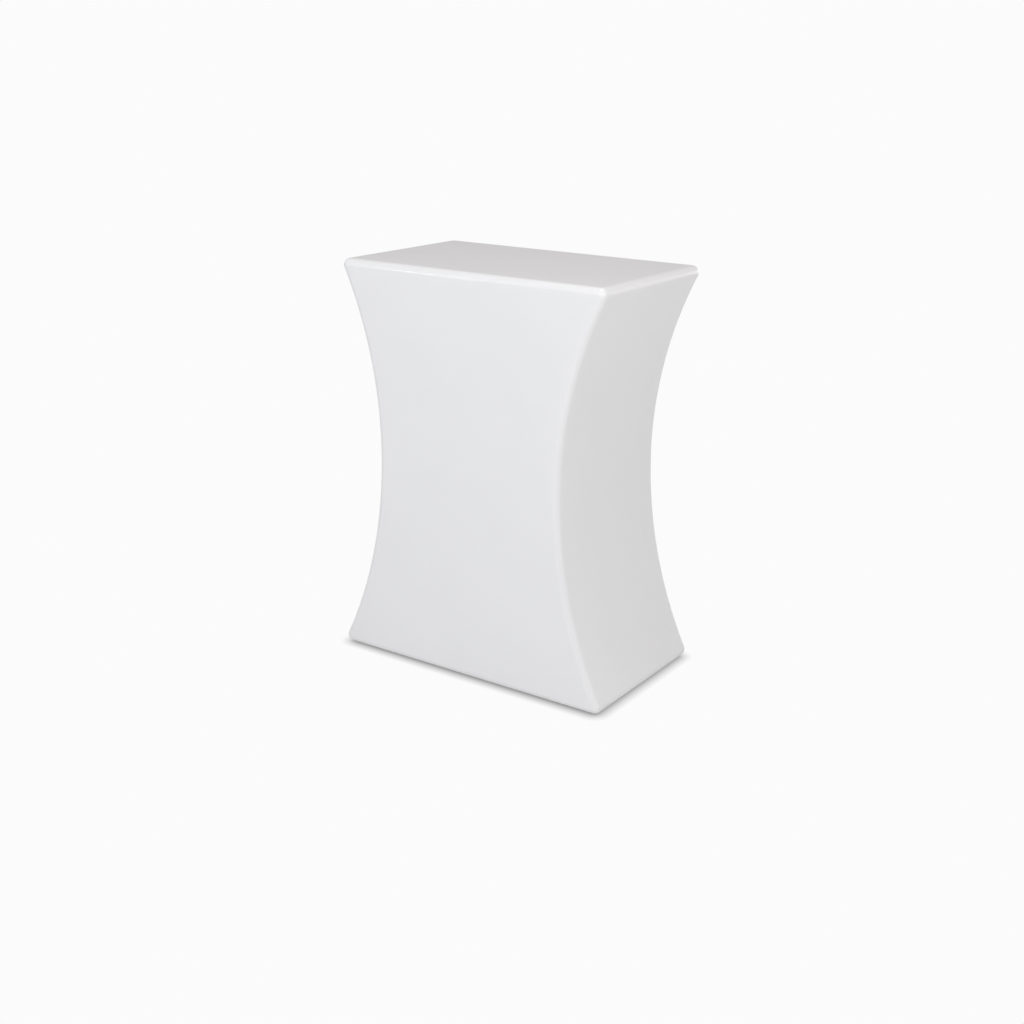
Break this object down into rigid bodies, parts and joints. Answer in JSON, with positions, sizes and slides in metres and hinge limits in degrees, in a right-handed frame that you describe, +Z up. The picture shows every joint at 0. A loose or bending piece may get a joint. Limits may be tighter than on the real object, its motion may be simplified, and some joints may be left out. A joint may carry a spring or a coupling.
{
  "type": "fitted tablecloth on a table",
  "caption": "Tall waisted table in a fitted stretch tablecloth, with a tube frame, two boards, levelling feet and a back zip.",
  "frame": {"origin": "on the floor, below the middle of the table", "axes": "+X along the table, to the right seen from the front; +Y towards the back, where the zip is; +Z up"},
  "size_m": [0.6898, 0.4035, 0.9],
  "materials": {
    "cloth": "white coated stretch knit, satin",
    "elastic": "white woven elastic",
    "board": "birch plywood, clear lacquer",
    "tube": "dark grey powder coat",
    "zinc": "zinc plated",
    "plug": "black moulded nylon",
    "foot_rubber": "black rubber",
    "zip_tape": "white woven polyester tape and coil",
    "zip_metal": "white lacquered zinc alloy"
  },
  "bodies": {
    "root": {"top_panel": "cloth", "front_panel": "cloth", "back_left_panel": "cloth", "back_right_panel": "cloth", "left_end_panel": "cloth", "right_end_panel": "cloth", "base_border": "cloth", "hem_band": "cloth", "hem_elastic": "elastic", "top_board": "board", "base_board": "board", "waist_brace": "board", "zip_stringer_left": "zip_tape", "zip_stringer_right": "zip_tape", "zip_top_stop": "zip_metal", "zip_bottom_stop": "zip_metal", "leg_front_left": "tube", "brace_tab_front_left": "tube", "leg_plug_top_front_left": "plug", "leg_plug_base_front_left": "plug", "leg_bolt_top_front_left": "zinc", "leg_bolt_base_front_left": "zinc", "brace_screw_front_left": "zinc", "foot_insert_front_left": "zinc", "leg_back_left": "tube", "brace_tab_back_left": "tube", "leg_plug_top_back_left": "plug", "leg_plug_base_back_left": "plug", "leg_bolt_top_back_left": "zinc", "leg_bolt_base_back_left": "zinc", "brace_screw_back_left": "zinc", "foot_insert_back_left": "zinc", "leg_front_right": "tube", "brace_tab_front_right": "tube", "leg_plug_top_front_right": "plug", "leg_plug_base_front_right": "plug", "leg_bolt_top_front_right": "zinc", "leg_bolt_base_front_right": "zinc", "brace_screw_front_right": "zinc", "foot_insert_front_right": "zinc", "leg_back_right": "tube", "brace_tab_back_right": "tube", "leg_plug_top_back_right": "plug", "leg_plug_base_back_right": "plug", "leg_bolt_top_back_right": "zinc", "leg_bolt_base_back_right": "zinc", "brace_screw_back_right": "zinc", "foot_insert_back_right": "zinc"},
    "zip_slider": {"zip_slider": "zip_metal"},
    "zip_pull": {"zip_pull": "zip_metal"},
    "foot_pad_front_left": {"foot_pad_front_left": "foot_rubber"},
    "foot_stem_front_left": {"foot_stem_front_left": "zinc"},
    "foot_pad_back_left": {"foot_pad_back_left": "foot_rubber"},
    "foot_stem_back_left": {"foot_stem_back_left": "zinc"},
    "foot_pad_front_right": {"foot_pad_front_right": "foot_rubber"},
    "foot_stem_front_right": {"foot_stem_front_right": "zinc"},
    "foot_pad_back_right": {"foot_pad_back_right": "foot_rubber"},
    "foot_stem_back_right": {"foot_stem_back_right": "zinc"}
  },
  "joints": [
    {"name": "zip_travel", "type": "slide", "parent": "root", "child": "zip_slider", "axis": [0, 0, 1], "range_m": [-0.789, 0]},
    {"name": "zip_pull_hinge", "type": "hinge", "parent": "zip_slider", "child": "zip_pull", "pos_m": [0, 0.2016, 0.849], "axis": [1, 0, 0], "range_deg": [0, 150]},
    {"name": "foot_height_front_left", "type": "slide", "parent": "root", "child": "foot_pad_front_left", "axis": [0, 0, -1], "range_m": [0, 0.0075]},
    {"name": "foot_turn_front_left", "type": "hinge", "parent": "foot_pad_front_left", "child": "foot_stem_front_left", "pos_m": [-0.27244, -0.129, 0], "axis": [0, 0, -1], "range_deg": [0, 2160]},
    {"name": "foot_height_back_left", "type": "slide", "parent": "root", "child": "foot_pad_back_left", "axis": [0, 0, -1], "range_m": [0, 0.0075]},
    {"name": "foot_turn_back_left", "type": "hinge", "parent": "foot_pad_back_left", "child": "foot_stem_back_left", "pos_m": [-0.27244, 0.129, 0], "axis": [0, 0, -1], "range_deg": [0, 2160]},
    {"name": "foot_height_front_right", "type": "slide", "parent": "root", "child": "foot_pad_front_right", "axis": [0, 0, -1], "range_m": [0, 0.0075]},
    {"name": "foot_turn_front_right", "type": "hinge", "parent": "foot_pad_front_right", "child": "foot_stem_front_right", "pos_m": [0.27244, -0.129, 0], "axis": [0, 0, -1], "range_deg": [0, 2160]},
    {"name": "foot_height_back_right", "type": "slide", "parent": "root", "child": "foot_pad_back_right", "axis": [0, 0, -1], "range_m": [0, 0.0075]},
    {"name": "foot_turn_back_right", "type": "hinge", "parent": "foot_pad_back_right", "child": "foot_stem_back_right", "pos_m": [0.27244, 0.129, 0], "axis": [0, 0, -1], "range_deg": [0, 2160]}
  ],
  "couplings": [
    {"joint": "foot_turn_front_left", "follows": "foot_height_front_left", "rad_per_m": 5026.5},
    {"joint": "foot_turn_back_left", "follows": "foot_height_back_left", "rad_per_m": 5026.5},
    {"joint": "foot_turn_front_right", "follows": "foot_height_front_right", "rad_per_m": 5026.5},
    {"joint": "foot_turn_back_right", "follows": "foot_height_back_right", "rad_per_m": 5026.5}
  ]
}
